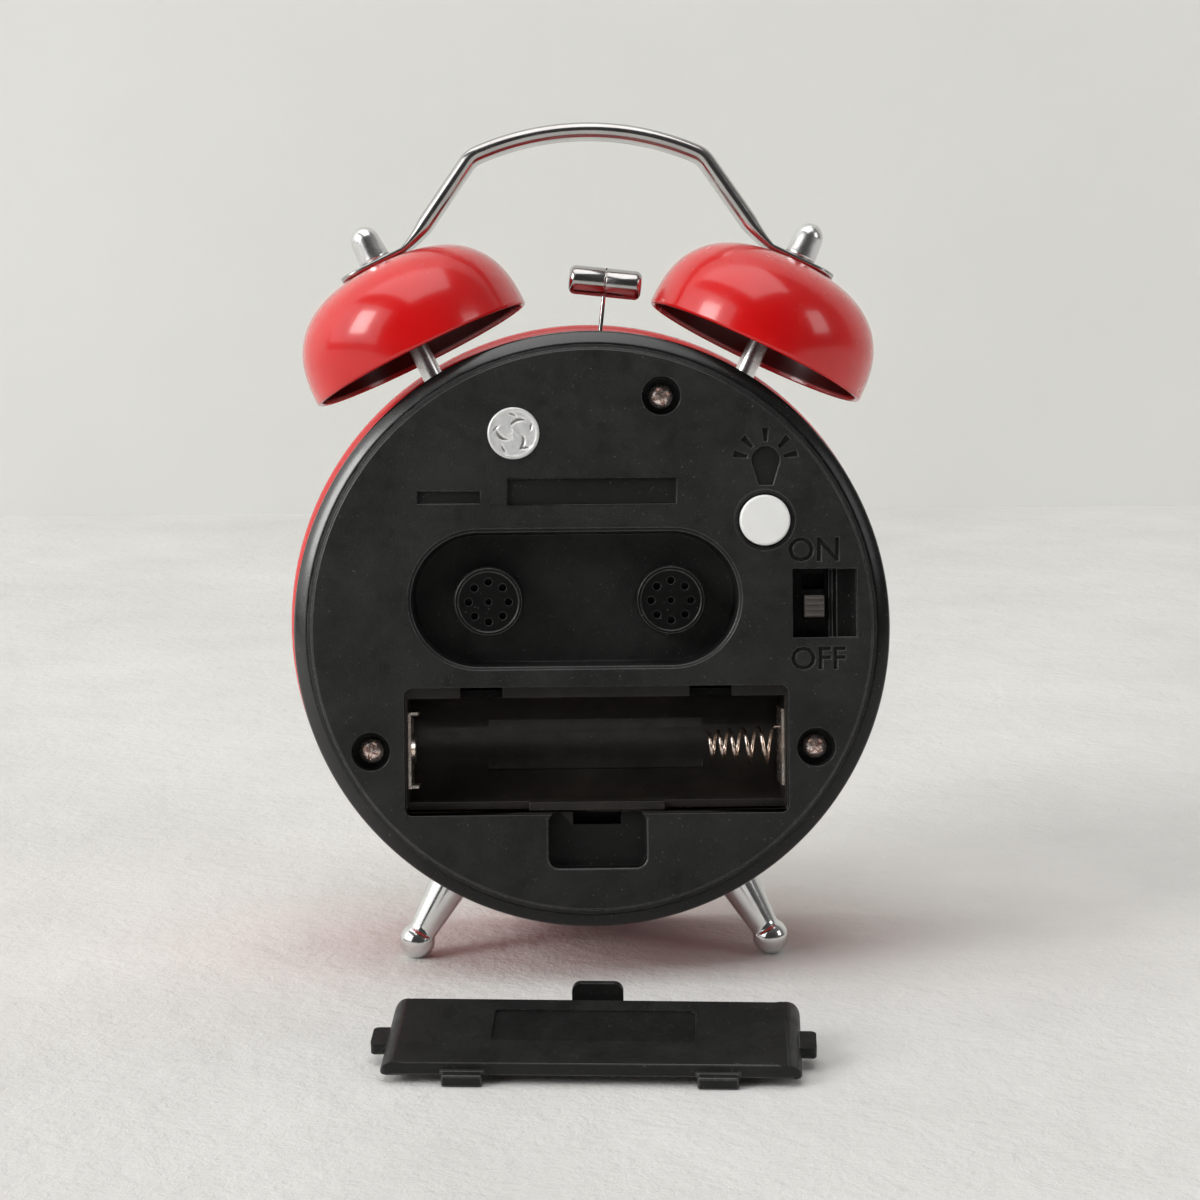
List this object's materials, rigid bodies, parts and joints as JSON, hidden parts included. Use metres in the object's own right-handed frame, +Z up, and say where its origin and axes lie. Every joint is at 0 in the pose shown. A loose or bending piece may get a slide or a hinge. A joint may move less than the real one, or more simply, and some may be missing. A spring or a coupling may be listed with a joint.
{
  "type": "twin-bell analog alarm clock",
  "caption": "Twin-bell analog alarm clock on splayed feet: round drum case, moulded back with setting knobs, open battery bay and its cover, carrying handle, swinging hammer and geared hands.",
  "frame": {"origin": "middle of the footprint on the table, taken over the clock and its cover, at table height", "axes": "+Z up, +Y from the back panel towards the dial, +X to the right seen from behind"},
  "size_m": [0.0972, 0.1, 0.1286],
  "materials": {
    "red_paint": "gloss enamel",
    "black_plastic": "fine moulded texture",
    "chrome_plate": "bright plated",
    "clear_lens": "clear polished",
    "dial_white": "satin printed card",
    "frame_plastic": "plain moulded",
    "movement_plastic": "plain moulded",
    "gear_plastic": "polished moulded",
    "button_white": "smooth moulded",
    "contact_steel": "bright plated strip",
    "spring_wire": "drawn and plated wire",
    "plain_steel": "zinc plated",
    "brass": "turned",
    "hand_black": "matt enamel",
    "hand_red": "matt enamel",
    "seal_foil": "embossed foil",
    "board_green": "lacquered board",
    "lamp_lens": "clear moulded"
  },
  "bodies": {
    "case": {"drum": "red_paint", "bezel": "red_paint", "lens": "clear_lens", "dial": "dial_white", "dial_ring": "dial_white", "chassis": "frame_plastic", "back_cover": "black_plastic", "cover_screws": "plain_steel", "foil_seal": "seal_foil", "bell_left": "red_paint", "bell_right": "red_paint", "bell_posts": "chrome_plate", "bell_nuts": "chrome_plate", "inner_nuts": "brass", "handle": "chrome_plate", "foot_left": "chrome_plate", "foot_right": "chrome_plate", "contact_positive": "contact_steel", "contact_negative": "contact_steel", "contact_spring": "spring_wire", "movement_case": "movement_plastic", "movement_plate": "movement_plastic", "motion_arbor": "plain_steel", "control_board": "board_green", "light_switch": "movement_plastic", "switch_body": "movement_plastic", "dial_lamp": "lamp_lens", "alarm_motor": "plain_steel", "hammer_bracket": "plain_steel", "bracket_screws": "brass", "hammer_pivot": "plain_steel"},
    "second_work": {"second_wheel": "brass", "second_hand": "hand_red"},
    "minute_work": {"minute_wheel": "gear_plastic", "minute_hand": "hand_black"},
    "hour_work": {"hour_wheel": "gear_plastic", "hour_hand": "hand_black"},
    "alarm_work": {"alarm_wheel": "gear_plastic", "alarm_hand": "hand_red"},
    "motion_work": {"motion_wheel": "gear_plastic"},
    "time_setting": {"time_knob": "black_plastic", "time_shaft": "gear_plastic"},
    "alarm_setting": {"alarm_knob": "black_plastic", "alarm_shaft": "gear_plastic"},
    "light_button": {"light_button": "button_white"},
    "alarm_switch": {"switch_slider": "black_plastic"},
    "striker_motor": {"motor_eccentric": "brass"},
    "hammer": {"hammer_lever": "plain_steel", "hammer_wire": "chrome_plate", "hammer_head": "chrome_plate"},
    "battery_cover": {"battery_cover": "black_plastic"}
  },
  "joints": [
    {"name": "second_spin", "type": "hinge", "parent": "case", "child": "second_work", "pos_m": [0, 0.02114, 0.05098], "axis": [0, 0.9898, -0.1423], "continuous": true},
    {"name": "minute_spin", "type": "hinge", "parent": "case", "child": "minute_work", "pos_m": [0, 0.02114, 0.05098], "axis": [0, 0.9898, -0.1423], "continuous": true},
    {"name": "hour_spin", "type": "hinge", "parent": "case", "child": "hour_work", "pos_m": [0, 0.02114, 0.05098], "axis": [0, 0.9898, -0.1423], "continuous": true},
    {"name": "alarm_spin", "type": "hinge", "parent": "case", "child": "alarm_work", "pos_m": [0, 0.02114, 0.05098], "axis": [0, 0.9898, -0.1423], "continuous": true},
    {"name": "motion_spin", "type": "hinge", "parent": "case", "child": "motion_work", "pos_m": [0, 0.01943, 0.0391], "axis": [0, 0.9898, -0.1423], "continuous": true},
    {"name": "time_knob_spin", "type": "hinge", "parent": "case", "child": "time_setting", "pos_m": [-0.01562, 0.02175, 0.05523], "axis": [0, 0.9898, -0.1423], "continuous": true},
    {"name": "alarm_knob_spin", "type": "hinge", "parent": "case", "child": "alarm_setting", "pos_m": [0.01184, 0.02175, 0.05523], "axis": [0, 0.9898, -0.1423], "continuous": true},
    {"name": "light_press", "type": "slide", "parent": "case", "child": "light_button", "axis": [0, 0.9898, -0.1423], "range_m": [0, 0.0012], "stiffness_N_per_m": 400},
    {"name": "alarm_switch_slide", "type": "slide", "parent": "case", "child": "alarm_switch", "axis": [0, 0.1423, 0.9898], "range_m": [0, 0.003]},
    {"name": "motor_spin", "type": "hinge", "parent": "case", "child": "striker_motor", "pos_m": [0, 0.02427, 0.07275], "axis": [0, 0.9898, -0.1423], "continuous": true},
    {"name": "hammer_swing", "type": "hinge", "parent": "case", "child": "hammer", "pos_m": [0, 0.02533, 0.08018], "axis": [0, 0.9898, -0.1423], "range_deg": [-16.3, 3.5]},
    {"name": "battery_cover_lift", "type": "slide", "parent": "case", "child": "battery_cover", "axis": [0, 0, 1], "range_m": [0, 0.06]}
  ],
  "couplings": [
    {"joint": "hour_spin", "follows": "minute_spin", "ratio": 0.083333},
    {"joint": "motion_spin", "follows": "minute_spin", "ratio": -0.33333},
    {"joint": "time_knob_spin", "follows": "minute_spin", "ratio": -1.4545},
    {"joint": "alarm_knob_spin", "follows": "alarm_spin", "ratio": -2.5}
  ]
}
